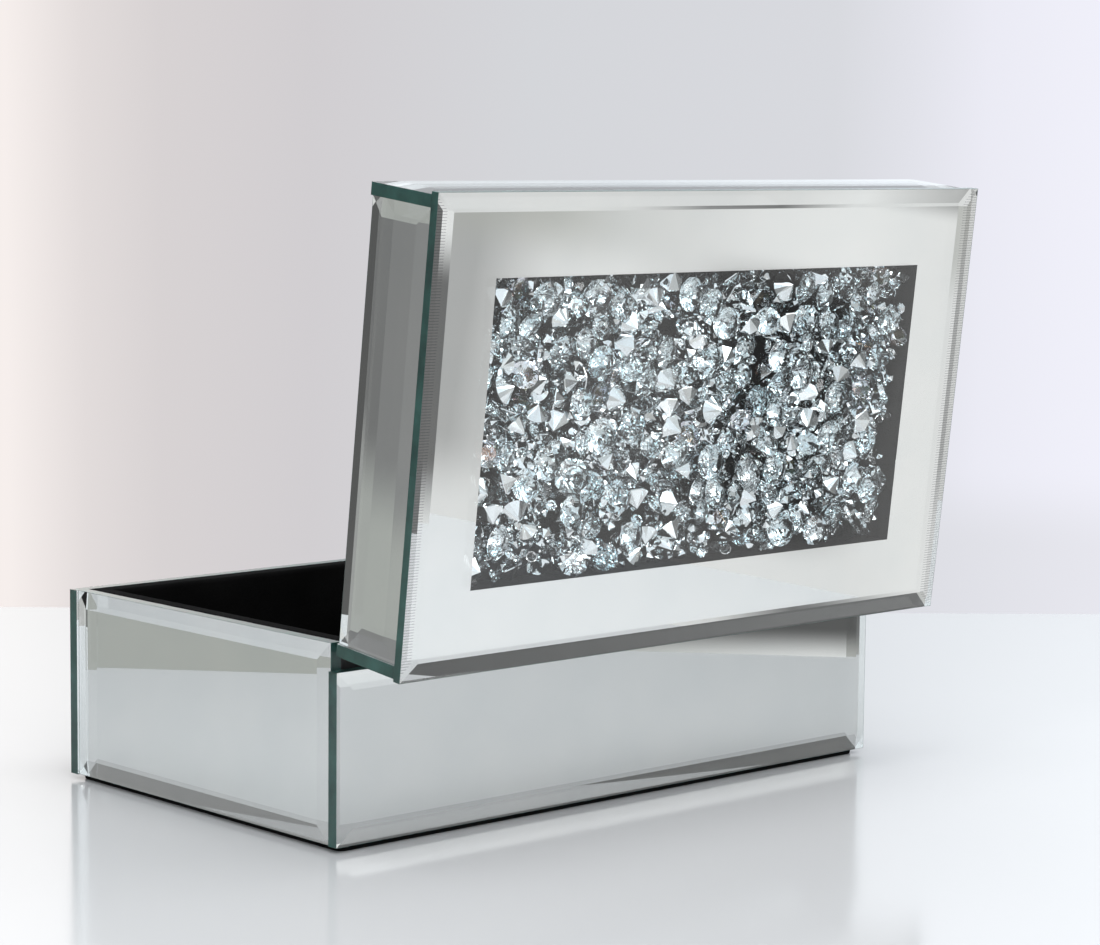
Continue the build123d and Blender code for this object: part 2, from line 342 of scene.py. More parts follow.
def silver_tray(name, glass_node, axis, outward, opening=None):
    """Closed thin tray inside a glass panel; the lid top's has a window hole, and on two sides of its margin the
    silver carries painted shade lines standing in for fine ribs.
    """
    lo, hi = home_box(glass_node)
    back = lo[axis] if outward > 0 else hi[axis]
    edge = hi[axis] - lo[axis] - BEVEL_DROP - ARRIS
    under = back + outward * SILVER_DEPTH
    over = under + outward * SILVER_THICKNESS
    rim = back + outward * edge
    rings = [
        box_ring(lo, hi, TRAY_INSET, under, axis),
        box_ring(lo, hi, TRAY_INSET, rim, axis),
        box_ring(lo, hi, TRAY_INSET + TRAY_WALL, rim, axis),
        box_ring(lo, hi, TRAY_INSET + TRAY_WALL, over, axis),
    ]
    if opening is not None:
        rings.append(box_ring(lo, hi, SHADE_LINED_MARGIN, over, axis))
        rings.append(box_ring(*opening, 0.0, over, axis))
        rings.append(box_ring(*opening, 0.0, under, axis))
    verts = [corner for corners in rings for corner in corners]
    faces, face_slots = [], []
    loops = len(rings)
    bands = loops if opening is not None else loops - 1
    for band in range(bands):
        after = (band + 1) % loops
        for k in range(4):
            turn = (k + 1) % 4
            faces.append((4 * band + k, 4 * band + turn, 4 * after + turn, 4 * after + k))
            # Two sides of the lid top's margin take the silver with painted rib shade lines.
            takes_shade_lines = opening is not None and band == SHADE_LINED_BAND and k in SHADE_LINED_SIDES
            face_slots.append(EDGE if band < WALL_BANDS else SHADE_LINED_SLOT if takes_shade_lines else SILVER)
    if opening is None:
        last = 4 * (loops - 1)
        faces += [(0, 1, 2, 3), tuple(range(last, last + 4))]
        face_slots += [SILVER, SILVER]
    tray = new_object(name, verts, faces, [silvering, ground_edge, shade_lined_silvering], face_slots)
    face_outward(tray)
    settle_piece(tray, glass_node)


for prefix in ("base", "lid"):
    for side, axis, outward in (("front", 1, -1), ("rear", 1, 1), ("left", 0, 1), ("right", 0, -1)):
        silver_tray(f"{prefix}_{side}_silvering", f"{prefix}_{side}_mirror", axis, outward)

fill_lo, fill_hi = home_box("crystal_fill")
margin = Vector((WINDOW_MARGIN, WINDOW_MARGIN, 0))
silver_tray("lid_top_silvering", "lid_top_mirror", 2, 1, (fill_lo + margin, fill_hi - margin))


# ---- velvet and felt ----------------------------------------------------------------------
NAP = 0.10 * MM
FABRIC = 1.2 * MM
BOARD = 6.0 * MM
RIM_CORNER = 1.5 * MM
CORNER_TUCK = 0.25 * MM
CORNER_REACH = 0.012
WALL_STEPS = 14
CORNER_STEP = 15
RIM_STEPS = 6
RUN_STATIONS = 61
END_STATIONS = [-0.985, -0.995, 0.985, 0.995]
MITRE_START = 0.98
NOTCH_STEP = MM / 50
NOTCH_GAP = 0.3 * MM
SURFACE_TOLERANCE = 0.01 * MM
NOTCH_REACH = FABRIC * 0.95
NOTCH_SQUEEZE = 0.01


def soft_noise(point, scale, amount):
    """Smooth noise at a point, up to about plus or minus the amount."""
    return amount * noise.noise(Vector(point) * scale)


def sweep_mesh(name, loops, materials):
    """Closed mesh through equal loops of points, capped at both ends."""
    count = len(loops[0])
    verts = [point for loop in loops for point in loop]
    faces = [tuple(range(count))[::-1], tuple(range(len(verts) - count, len(verts)))]
    for k in range(len(loops) - 1):
        for i in range(count):
            j = (i + 1) % count
            faces.append((k * count + i, k * count + j, (k + 1) * count + j, (k + 1) * count + i))
    swept = new_object(name, verts, faces, materials, smooth=True)
    face_outward(swept)
    return swept


def liner_profile(height):
    """Section of a lining strip as (outward, down): up the wall, round the rim and over the board."""
    corner = [
        (RIM_CORNER * (1 - math.cos(a)), RIM_CORNER * (1 - math.sin(a)))
        for a in (math.radians(d) for d in range(0, 91, CORNER_STEP))
    ]
    wall = [(0.0, height - height * k / WALL_STEPS) for k in range(WALL_STEPS - 1)]
    reach = FABRIC + BOARD
    rim = [(RIM_CORNER + (reach - RIM_CORNER) * k / RIM_STEPS, 0.0) for k in range(1, RIM_STEPS)]
    tail = [(reach - 0.3 * MM, 0.12 * MM), (reach - 0.06 * MM, 0.5 * MM), (reach - 0.06 * MM, FABRIC)]
    under = [(reach - BOARD * k / 4, FABRIC) for k in range(1, 5)]
    back = [(FABRIC, FABRIC + (height - FABRIC) * k / 6) for k in range(1, 7)]
    return wall + corner + rim + tail + under + back


def lining(prefix, side, notches=()):
    """Velvet over card along one wall, mitred to its neighbours; notches leave room for hinges."""
    glass_lo, glass_hi = home_box(f"{prefix}_{side}_liner")
    across = side in ("front", "rear")
    out_axis, run_axis = (1, 0) if across else (0, 1)
    outward = 1 if side in ("rear", "left") else -1
    inner = glass_lo[out_axis] if outward > 0 else glass_hi[out_axis]
    half_run = home_box(f"{prefix}_left_liner" if across else f"{prefix}_rear_liner")[0][run_axis]
    down = -1 if prefix == "base" else 1
    rim = glass_hi.z if down < 0 else glass_lo.z
    profile = liner_profile(glass_hi.z - glass_lo.z)
    stations = set(np.linspace(-1, 1, RUN_STATIONS)) | set(END_STATIONS)
    for a, b in notches:
        stations |= {x / half_run for x in (a - NOTCH_STEP, a, b, b + NOTCH_STEP)}
    loops = []
    for station in sorted(stations):
        here = station * half_run
        notched = any(a <= here <= b for a, b in notches)
        tuck = CORNER_TUCK * max(0.0, 1 - (1 - abs(station)) / CORNER_REACH)
        loop = []
        for outer, depth in profile:
            reach = outer
            if notched and outer > NOTCH_REACH:
                reach = NOTCH_REACH + (outer - NOTCH_REACH) * NOTCH_SQUEEZE
            point = [0.0, 0.0, 0.0]
            point[run_axis] = station * (half_run + outer)
            if abs(station) < MITRE_START:
                point[run_axis] = here
            seen_wall, seen_rim = outer < SURFACE_TOLERANCE, depth < SURFACE_TOLERANCE
            plump = soft_noise((here, outer, depth + 0.2 * outward), 60.0, NAP) + NAP * 0.4
            point[out_axis] = inner + outward * (reach - (plump - tuck if seen_wall else 0.0))
            point[2] = rim + down * (depth - (plump - tuck if seen_rim and not notched else 0.0))
            loop.append(tuple(point))
        loops.append(loop)
    strip = sweep_mesh(f"{prefix}_{side}_velvet", loops, [velvet])
    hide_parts(f"{prefix}_{side}_liner")
    settle_piece(strip, f"{prefix}_{side}_liner")


leaf_lo, leaf_hi = home_box("left_hinge_lid_leaf")
notch = (leaf_lo.x - NOTCH_GAP, leaf_hi.x + NOTCH_GAP)
hinge_notches = [(-notch[1], -notch[0]), notch]
for prefix in ("base", "lid"):
    for side in ("front", "rear", "left", "right"):
        lining(prefix, side, hinge_notches if (prefix, side) == ("lid", "rear") else ())

PAD_EDGE = 0.15 * MM
PAD_CELL = 3.0 * MM
PAD_CAP = 1.1 * MM
PAD_ALLOWANCE = 0.5 * MM
PAD_TOP_INSET = 1.2
# Rings up the pad's edge: inset in parts of twice its thickness, level in parts of its thickness.
PAD_RINGS = [(0.0, 0.0), (0.0, 0.45), (0.12, 0.78), (0.45, 0.95)]
HELD_RINGS = 2
TOP_LEVEL = 0.6
SWELL_FRAMES = 12
SWELL_PRESSURE = 0.6


def swell(pad, held, side):
    """Inflate a flat pad with Cloth while its back is held, and cap how far it may rise."""
    scene = bpy.context.scene
    start = [v.co.copy() for v in pad.data.vertices]
    group = pad.vertex_groups.new(name="held")
    group.add(held, 1.0, "REPLACE")
    cloth = pad.modifiers.new("swell", "CLOTH")
    cloth.settings.quality = 4
    cloth.settings.mass = 0.1
    cloth.settings.bending_stiffness = 0.3
    cloth.settings.use_pressure = True
    cloth.settings.uniform_pressure_force = SWELL_PRESSURE
    cloth.settings.vertex_group_mass = "held"
    cloth.settings.effector_weights.gravity = 0.0
    cloth.collision_settings.use_collision = False
    cloth.point_cache.frame_start, cloth.point_cache.frame_end = 1, SWELL_FRAMES
    for frame_number in range(1, SWELL_FRAMES + 1):
        scene.frame_set(frame_number)
    shaped = pad.evaluated_get(bpy.context.evaluated_depsgraph_get()).to_mesh()
    ends = [v.co.copy() for v in shaped.vertices]
    pad.modifiers.remove(cloth)
    pad.vertex_groups.clear()
    scene.frame_set(1)
    for vertex, before, after in zip(pad.data.vertices, start, ends):
        rise = max(0.0, (after.z - before.z) * side)
        rise = PAD_CAP * math.tanh(rise / PAD_CAP)
        vertex.co = before + Vector((0, 0, side * rise))


def pad_piece(name, node_name, side):
    """Velvet pad with soft rounded edges, crowned on the side that faces the well."""
    lo, hi = home_box(node_name)
    back = lo.z if side > 0 else hi.z
    thickness = hi.z - lo.z - PAD_ALLOWANCE
    half = (hi - lo) / 2
    columns, rows = (max(8, round(2 * h / PAD_CELL)) for h in (half.x, half.y))
    mesh = bmesh.new()
    rings = []
    for inset, level in PAD_RINGS:
        ring_points = []
        w, d = half.x - PAD_EDGE - inset * thickness * 2, half.y - PAD_EDGE - inset * thickness * 2
        for k in range(columns):
            ring_points.append((-w + 2 * w * k / columns, -d))
        for k in range(rows):
            ring_points.append((w, -d + 2 * d * k / rows))
        for k in range(columns):
            ring_points.append((w - 2 * w * k / columns, d))
        for k in range(rows):
            ring_points.append((-w, d - 2 * d * k / rows))
        rings.append([mesh.verts.new((x, y, back + side * level * thickness)) for x, y in ring_points])
    for low, high in zip(rings, rings[1:]):
        for k in range(len(low)):
            j = (k + 1) % len(low)
            mesh.faces.new((low[k], low[j], high[j], high[k]))
    w, d = (h - PAD_EDGE - PAD_TOP_INSET * thickness for h in (half.x, half.y))
    grid = {}
    for i in range(columns + 1):
        for j in range(rows + 1):
            if i in (0, columns) or j in (0, rows):
                if j == 0:
                    index = i
                elif i == columns:
                    index = columns + j
                elif j == rows:
                    index = columns + rows + (columns - i)
                else:
                    index = 2 * columns + rows + (rows - j)
                grid[i, j] = rings[-1][index % len(rings[-1])]
            else:
                x, y = -w + 2 * w * i / columns, -d + 2 * d * j / rows
                grid[i, j] = mesh.verts.new((x, y, back + side * thickness))
    for i in range(columns):
        for j in range(rows):
            mesh.faces.new((grid[i, j], grid[i + 1, j], grid[i + 1, j + 1], grid[i, j + 1]))
    mesh.faces.new(rings[0])
    mesh.verts.index_update()
    held = [v.index for ring_verts in rings[:HELD_RINGS] for v in ring_verts]
    data = bpy.data.meshes.new(name)
    mesh.to_mesh(data)
    mesh.free()
    data.materials.append(velvet)
    pad = bpy.data.objects.new(name, data)
    bpy.context.scene.collection.objects.link(pad)
    face_outward(pad)
    data.polygons.foreach_set("use_smooth", np.full(len(data.polygons), True))
    swell(pad, held, side)
    for vertex in data.vertices:
        if abs(vertex.co.z - back) > TOP_LEVEL * thickness:
            waves = soft_noise(vertex.co, 35.0, 0.25 * MM)
            vertex.co.z += side * (waves + soft_noise(vertex.co, 110.0, NAP))
    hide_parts(node_name)
    settle_piece(pad, node_name)


pad_piece("base_floor_velvet", "base_floor_pad", 1)
pad_piece("lid_ceiling_velvet", "lid_ceiling_pad", -1)

FOOT_CORNER = 3.0 * MM
FOOT_CORNER_STEP = 15
FOOT_SIDE_STEPS = 60
# Rings up the cut edge of the felt, as (level, inset) in millimetres.
FOOT_RINGS = ((0.0, 0.3), (0.25, 0.06), (1.0, 0.0), (1.75, 0.05), (2.0, 0.25))
FRAY = 0.12 * MM


def felt_foot():
    """Felt sheet under the box, with a soft cut edge."""
    lo, hi = home_box("foot_pad")
    half = (hi - lo) / 2
    outline = []
    corners = [(1, -1, -90), (1, 1, 0), (-1, 1, 90), (-1, -1, 180)]
    for index, (sx, sy, start) in enumerate(corners):
        middle = (sx * (half.x - FOOT_CORNER), sy * (half.y - FOOT_CORNER))
        for k in range(90 // FOOT_CORNER_STEP + 1):
            a = math.radians(start + FOOT_CORNER_STEP * k)
            outline.append((middle[0] + FOOT_CORNER * math.cos(a), middle[1] + FOOT_CORNER * math.sin(a)))
        nxt = corners[(index + 1) % 4]
        end = outline[-1]
        goal_middle = (nxt[0] * (half.x - FOOT_CORNER), nxt[1] * (half.y - FOOT_CORNER))
        a = math.radians(nxt[2])
        goal = (goal_middle[0] + FOOT_CORNER * math.cos(a), goal_middle[1] + FOOT_CORNER * math.sin(a))
        for k in range(1, FOOT_SIDE_STEPS):
            outline.append(tuple(e + (g - e) * k / FOOT_SIDE_STEPS for e, g in zip(end, goal)))
    loops = []
    for level, inset in FOOT_RINGS:
        loop = []
        for x, y in outline:
            fray = inset * MM + abs(soft_noise((x, y, level * MM), 900.0, FRAY))
            length = math.hypot(x, y)
            loop.append((x - x / length * fray, y - y / length * fray, level * MM))
        loops.append(loop)
    foot = sweep_mesh("felt_foot", loops, [felt])
    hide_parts("foot_pad")
    settle_piece(foot, "foot_pad")


felt_foot()

# ---- cut stones ---------------------------------------------------------------------------
BAY_CLEARANCE = 0.15 * MM
# Stones lying at the glass, those behind them, and the small ones in the gaps: how many, and in
# millimetres their least and most width and the depths below the glass of their centres.
FRONT_COUNT, FRONT_WIDTHS, FRONT_DEPTHS = 44, (10.8, 13.0), (1.6, 2.8)
BIG_COUNT, BIG_WIDTHS, BIG_DEPTHS = 310, (7.6, 10.4), (2.8, 8.6)
SMALL_COUNT, SMALL_WIDTHS, SMALL_DEPTHS = 2000, (2.6, 4.8), (4.0, 10.4)
FRONT_REACH, BIG_REACH, SMALL_REACH = 6.2 * MM, 3.6 * MM, 1.2 * MM
FRONT_ROUNDS, BIG_ROUNDS, SMALL_ROUNDS = 60, 120, 25
LONE_RADIUS, SETTLED_RADIUS = 0.45, 0.42
FRONT_TILTS, UP_TILTS, DOWN_TILTS = (0, 20), (5, 55), (125, 178)
LIE_SHARES = [0.46, 0.34, 0.20]
BIG_SHARES = [0.42, 0.5, 0.08]
SMALL_SHARES = [0.2, 0.8]
PUSH_SHARE = 0.3


def ring(count, radius, height, turn=0.0):
    """Points evenly round a level circle."""
    angles = [turn + k * (2 * math.pi / count) for k in range(count)]
    return [(radius * math.cos(a), radius * math.sin(a), height) for a in angles]


def brilliant(table=0.29, crown_slope=0.68, pavilion_slope=0.86, girdle=0.014, star=0.385, lower=0.12):
    """Round brilliant of unit diameter: kites, stars and halves above, mains and halves below."""
    half_step = math.pi / 8
    top = girdle + (0.5 - table) * crown_slope
    star_height = girdle + (0.5 - star * math.cos(half_step)) * crown_slope
    depth = girdle + 0.5 * pavilion_slope
    lower_height = -depth + lower * math.cos(half_step) * pavilion_slope
    verts = ring(8, table, top) + ring(8, star, star_height, half_step)
    verts += ring(16, 0.5, girdle) + ring(16, 0.5, -girdle)
    verts += ring(8, lower, lower_height, half_step) + [(0, 0, -depth)]
    table_i, star_i, girdle_i, under_i, lower_i, culet = 0, 8, 16, 32, 48, 56
    faces = [tuple(range(8))]
    upper = [True]
    for k in range(8):
        after = (k + 1) % 8
        edge, middle, edge_after = 2 * k, 2 * k + 1, (2 * k + 2) % 16
        before = (k - 1) % 8
        faces.append((table_i + k, star_i + k, table_i + after)[::-1])
        faces.append((table_i + k, star_i + before, girdle_i + edge, star_i + k))
        faces.append((star_i + k, girdle_i + edge, girdle_i + middle))
        faces.append((star_i + k, girdle_i + middle, girdle_i + edge_after))
        upper += [True] * 4
        faces.append((under_i + edge, lower_i + before, culet, lower_i + k))
        faces.append((lower_i + k, under_i + middle, under_i + edge))
        faces.append((lower_i + k, under_i + edge_after, under_i + middle))
        upper += [False] * 3
    for k in range(16):
        after = (k + 1) % 16
        faces.append((girdle_i + k, under_i + k, under_i + after, girdle_i + after))
        upper.append(True)
    return np.array(verts), faces, upper


def chaton(table=0.3, crown=0.15, depth=0.46, girdle=0.02):
    """Pointed-back stone of unit diameter with a plain eight-sided crown; its cone's facets are marked as lower,
    so that a piece can foil them.
    """
    half_step = math.pi / 8
    verts = ring(8, table, girdle + crown, half_step) + ring(8, 0.5, girdle, half_step)
    verts += ring(8, 0.5, -girdle, half_step) + [(0, 0, -depth)]
    faces = [tuple(range(8))]
    upper = [True]
    for k in range(8):
        after = (k + 1) % 8
        faces.append((k, k + 8, after + 8, after))
        faces.append((k + 8, k + 16, after + 16, after + 8))
        faces.append((k + 16, 24, after + 16))
        upper += [True, False, False]
    return np.array(verts), faces, upper


def outward_faces(verts, faces):
    """The same faces, each wound so that its normal points away from the stone's middle."""
    turned = []
    for face in faces:
        a, b, c = (verts[i] for i in face[:3])
        outward = np.dot(np.cross(b - a, c - b), verts[list(face)].mean(0)) > 0
        turned.append(tuple(face) if outward else tuple(face)[::-1])
    return turned


def random_rotations(count):
    """Uniform random rotation matrices."""
    q = rng.normal(size=(count, 4))
    q /= np.linalg.norm(q, axis=1)[:, None]
    w, x, y, z = q.T
    return np.stack(
        [
            np.stack([1 - 2 * (y * y + z * z), 2 * (x * y - w * z), 2 * (x * z + w * y)], -1),
            np.stack([2 * (x * y + w * z), 1 - 2 * (x * x + z * z), 2 * (y * z - w * x)], -1),
            np.stack([2 * (x * z - w * y), 2 * (y * z + w * x), 1 - 2 * (x * x + y * y)], -1),
        ],
        1,
    )


def push_apart(centres, radii, lo, hi, rounds):
    """Move stones' centres until their spheres hardly overlap, keeping each in its own limits."""
    want = radii[:, None] + radii[None, :]
    for _ in range(rounds):
        gap = centres[:, None, :] - centres[None, :, :]
        distance = np.sqrt((gap**2).sum(-1)) + 1e-9
        push = np.clip(want - distance, 0, None)
        np.fill_diagonal(push, 0)
        centres = centres + PUSH_SHARE * (gap / distance[..., None] * push[..., None]).sum(1)
        centres = np.clip(centres, lo, hi)
    return centres


def spun(turns):
    """Random turns about the line out through the window, before the given turns."""
    angle = rng.uniform(0, 2 * math.pi, len(turns))
    about = np.zeros((len(turns), 3, 3))
    about[:, 0, 0], about[:, 0, 1] = np.cos(angle), -np.sin(angle)
    about[:, 1, 0], about[:, 1, 1] = np.sin(angle), np.cos(angle)
    about[:, 2, 2] = 1
    return turns @ about


def tilts(count, least, most):
    """Turns that tip a stone's axis away from the window by angles between two limits."""
    lean = np.radians(rng.uniform(least, most, count))
    bearing = rng.uniform(0, 2 * math.pi, count)
    turns = np.empty((count, 3, 3))
    for k in range(count):
        axis = Vector((math.cos(bearing[k]), math.sin(bearing[k]), 0))
        turns[k] = np.array(Matrix.Rotation(lean[k], 3, axis))
    return spun(turns)


def stones_piece(name, shape, sizes, centres, turns, materials):
    """One mesh of many cut stones; materials are for the upper and the lower facets."""
    unit, faces, upper = shape
    faces = outward_faces(unit, faces)
    verts = np.einsum("nij,vj->nvi", turns, unit) * sizes[:, None, None] + centres[:, None, :]
    lo, hi = np.array(fill_lo) + BAY_CLEARANCE, np.array(fill_hi) - BAY_CLEARANCE
    low, high = verts.min(1), verts.max(1)
    verts += (np.clip(lo - low, 0, None) - np.clip(high - hi, 0, None))[:, None, :]
    all_faces = []
    slots = []
    for stone in range(len(sizes)):
        shift = stone * len(unit)
        all_faces += [tuple(i + shift for i in face) for face in faces]
        slots += [0 if is_upper else len(materials) - 1 for is_upper in upper]
    piece = new_object(name, verts.reshape(-1, 3), all_faces, materials, slots)
    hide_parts("crystal_fill")
    return settle_piece(piece, "crystal_fill")


bay_lo, bay_hi = np.array(fill_lo), np.array(fill_hi)


def widths(limits, count):
    """Random widths of stones between two limits in millimetres."""
    return rng.uniform(*limits, count) * MM


def spread(sizes, reach, depths, rounds, settled=None):
    """Centres for stones in the bay between two depths below the glass, clear of settled stones."""
    lo = np.broadcast_to(bay_lo + reach, (len(sizes), 3)).copy()
    hi = np.broadcast_to(bay_hi - reach, (len(sizes), 3)).copy()
    lo[:, 2], hi[:, 2] = bay_hi[2] - depths[1] * MM, bay_hi[2] - depths[0] * MM
    centres = rng.uniform(lo, hi)
    if settled is None:
        return push_apart(centres, sizes * LONE_RADIUS, lo, hi, rounds)
    fixed, fixed_sizes = settled
    lo, hi = np.vstack([fixed, lo]), np.vstack([fixed, hi])
    radii = np.concatenate([fixed_sizes, sizes]) * SETTLED_RADIUS
    return push_apart(np.vstack([fixed, centres]), radii, lo, hi, rounds)[len(fixed) :]


front_sizes = widths(FRONT_WIDTHS, FRONT_COUNT)
front_centres = spread(front_sizes, FRONT_REACH, FRONT_DEPTHS, FRONT_ROUNDS)
big_sizes = widths(BIG_WIDTHS, BIG_COUNT)
big_centres = spread(big_sizes, BIG_REACH, BIG_DEPTHS, BIG_ROUNDS, (front_centres, front_sizes))
small_sizes = widths(SMALL_WIDTHS, SMALL_COUNT)
small_centres = spread(small_sizes, SMALL_REACH, SMALL_DEPTHS, SMALL_ROUNDS)

facing_up = tilts(BIG_COUNT, *UP_TILTS)
facing_down = tilts(BIG_COUNT, *DOWN_TILTS)
tumbled = random_rotations(BIG_COUNT)
lie = rng.choice(3, BIG_COUNT, p=LIE_SHARES)[:, None, None]
big_turns = np.where(lie == 0, facing_up, np.where(lie == 1, facing_down, tumbled))
big_kinds = rng.choice(3, BIG_COUNT, p=BIG_SHARES)
front_turns = tilts(FRONT_COUNT, *FRONT_TILTS)
front_kinds = np.arange(FRONT_COUNT) % 2
small_turns = random_rotations(SMALL_COUNT)
small_kinds = rng.choice(2, SMALL_COUNT, p=SMALL_SHARES)

foiled, unfoiled = [crystal_clear, crystal_foil], [crystal_clear]
front_pieces = [
    ("crystal_front_brilliants", brilliant(), foiled),
    ("crystal_front_rounds", chaton(table=0.27, crown=0.15, depth=0.43), foiled),
]
big_pieces = [
    ("crystal_brilliants", brilliant(), foiled),
    ("crystal_chatons", chaton(), foiled),
    ("crystal_fire_stones", brilliant(), [crystal_fire]),
]
small_pieces = [
    ("crystal_small_clear", chaton(), unfoiled),
    ("crystal_small_foiled", chaton(), foiled),
]


def stone_pieces(pieces, kinds, sizes, centres, turns):
    """One piece for each kind of stone, in the order of the kinds' numbers."""
    for kind, (name, shape, mats) in enumerate(pieces):
        chosen = kinds == kind
        stones_piece(name, shape, sizes[chosen], centres[chosen], turns[chosen], mats)


stone_pieces(front_pieces, front_kinds, front_sizes, front_centres, front_turns)
stone_pieces(big_pieces, big_kinds, big_sizes, big_centres, big_turns)
stone_pieces(small_pieces, small_kinds, small_sizes, small_centres, small_turns)

# ---- studio -------------------------------------------------------------------------------
CAMERA_PLACE = Vector((0.71119, 0.81249, 0.22760))
CAMERA_YAW, CAMERA_PITCH, CAMERA_ROLL = (math.radians(a) for a in (222.534, -6.366, 0.589))
CAMERA_LENS = 98.98
CAMERA_SENSOR = 36.0
CAMERA_NEAR = 0.01

forward = Vector(
    (
        math.cos(CAMERA_PITCH) * math.sin(CAMERA_YAW),
        math.cos(CAMERA_PITCH) * math.cos(CAMERA_YAW),
        math.sin(CAMERA_PITCH),
    )
)
level_right = forward.cross(Vector((0, 0, 1))).normalized()
level_up = level_right.cross(forward)
right = level_right * math.cos(CAMERA_ROLL) + level_up * math.sin(CAMERA_ROLL)
up = level_up * math.cos(CAMERA_ROLL) - level_right * math.sin(CAMERA_ROLL)
camera = bpy.data.objects.new("camera", bpy.data.cameras.new("camera"))
bpy.context.scene.collection.objects.link(camera)
camera_turn = Matrix((right, up, -forward)).transposed().to_4x4()
camera.matrix_world = Matrix.Translation(CAMERA_PLACE) @ camera_turn
camera.data.lens = CAMERA_LENS
camera.data.sensor_width = CAMERA_SENSOR
camera.data.clip_start = CAMERA_NEAR
bpy.context.scene.camera = camera

towards = Vector((CAMERA_PLACE.x, CAMERA_PLACE.y, 0)).normalized()
leftward = Vector((towards.y, -towards.x, 0))


def table_point(along, across, height=0.0):
    """Place given by its distances towards the camera and across the view, and its height."""
    return towards * along + leftward * across + Vector((0, 0, height))


TABLE_CORNERS = [(-0.36, -0.35), (0.36, -0.35), (0.36, 0.358), (-0.36, 0.358)]
TABLE_THICKNESS = 0.03
table_verts = [table_point(a, c, h) for h in (-TABLE_THICKNESS, 0.0) for a, c in TABLE_CORNERS]
table_faces = [(0, 1, 2, 3), (4, 5, 6, 7)] + [(k, (k + 1) % 4, (k + 1) % 4 + 4, k + 4) for k in range(4)]
floor_mat, floor_tree, floor_shader = material("floor", Roughness=0.13, IOR=1.6)
floor_grain = noise_texture(floor_tree, scale=3.0)
floor_tone = ramp(floor_tree, floor_grain, [(0.3, (0.58, 0.58, 0.59)), (0.7, (0.59, 0.59, 0.6))])
floor_tree.links.new(floor_tone, floor_shader.inputs["Base Color"])
floor = new_object("floor", table_verts, table_faces, [floor_mat])
face_outward(floor)


def area_light(name, place, aim, width, height, power):
    """Rectangular light that faces a point."""
    data = bpy.data.lights.new(name, "AREA")
    data.shape = "RECTANGLE"
    data.size, data.size_y = width, height
    data.energy = power
    lamp = bpy.data.objects.new(name, data)
    bpy.context.scene.collection.objects.link(lamp)
    turn = (Vector(aim) - place).to_track_quat("-Z", "Y").to_matrix().to_4x4()
    lamp.matrix_world = Matrix.Translation(place) @ turn


BOX_FOOT, BASE_MIDDLE, LID_MIDDLE = (0, 0, 0), (0, 0.08, 0.08), (0, 0.1, 0.13)
# Name, place on and above the table, what it faces, width, height, watts.
SOFTBOXES = [
    ("overhead_softbox", (0.25, -0.1, 1.15), BOX_FOOT, 0.6, 0.5, 6.2),
    ("side_softbox", (0.1, -0.85, 1.15), BASE_MIDDLE, 0.9, 0.5, 3.2),
    ("right_softbox", (0.95, -0.85, 0.85), LID_MIDDLE, 0.45, 0.45, 3.6),
    ("left_softbox", (1.15, 0.75, 0.75), LID_MIDDLE, 0.35, 0.5, 2.8),
    ("high_softbox", (1.5, -0.1, 1.1), LID_MIDDLE, 0.9, 0.5, 6.5),
]
for name, place, aim, width, height, power in SOFTBOXES:
    area_light(name, table_point(*place), aim, width, height, power)

world = bpy.data.worlds.new("studio")
bpy.context.scene.world = world
world.use_nodes = True
sky = world.node_tree
background = sky.nodes["Background"]
direction = node(sky, "ShaderNodeTexCoord")
parts = node(sky, "ShaderNodeSeparateXYZ")
sky.links.new(direction.outputs["Generated"], parts.inputs["Vector"])
bearing = node(sky, "ShaderNodeMath", operation="ARCTAN2")
sky.links.new(parts.outputs["Y"], bearing.inputs[0])
sky.links.new(parts.outputs["X"], bearing.inputs[1])
turn = node(sky, "ShaderNodeMath", operation="MULTIPLY_ADD")
turn.inputs[1].default_value = 0.5 / math.pi
turn.inputs[2].default_value = 1.0
sky.links.new(bearing.outputs[0], turn.inputs[0])
wrapped = node(sky, "ShaderNodeMath", operation="FRACT")
sky.links.new(turn.outputs[0], wrapped.inputs[0])

BACKDROP = [
    (196, (0.80, 0.80, 0.86)),
    (212, (0.87, 0.87, 0.94)),
    (217, (0.80, 0.80, 0.86)),
    (222, (0.69, 0.70, 0.74)),
    (228, (0.66, 0.67, 0.70)),
    (232, (0.64, 0.62, 0.64)),
    (235.8, (0.70, 0.66, 0.66)),
    (237.4, (0.92, 0.86, 0.84)),
    (250, (1.0, 0.95, 0.92)),
]
# Room brightness by bearing in degrees from +X, one band for each range of heights, lowest first.
REAR_LEFT = [(280, grey(0.5)), (298, (0.41, 0.42, 0.40)), (315, (0.41, 0.42, 0.40)), (328, grey(0.3))]
FRONT_LOW = [(0, grey(0.5)), (25, grey(0.8)), (43.5, grey(0.8)), (46.5, grey(0.09)), (53, grey(0.09))]
FRONT_LOW += [(56, grey(0.62)), (100, grey(0.5))]
NEAR = FRONT_LOW + [(128, grey(0.74)), (136, grey(0.8)), (141.2, grey(0.78))]
NEAR += [(143.4, grey(0.96)), (147, grey(0.25)), (172, grey(0.3))] + BACKDROP + REAR_LEFT
LOW = FRONT_LOW + [(128, grey(0.44)), (132.6, grey(0.44)), (133.8, grey(0.82))]
LOW += [(136.2, grey(0.82)), (137.3, grey(0.15)), (139.3, grey(0.15)), (140.3, grey(0.82))]
LOW += [(142.8, grey(0.82)), (145, grey(0.16)), (172, grey(0.2))] + BACKDROP + REAR_LEFT
BELOW = FRONT_LOW + [(132.0, (0.44, 0.44, 0.42)), (133.2, (0.5, 0.5, 0.48))]
BELOW += [(134.5, (0.58, 0.59, 0.57)), (135.2, grey(0.7)), (136.4, grey(0.74)), (138.6, grey(0.87))]
BELOW += [(140.1, grey(0.83)), (143, grey(0.75)), (146, grey(0.16)), (152, grey(0.16))]
BELOW += [(172, grey(0.3))] + BACKDROP + REAR_LEFT
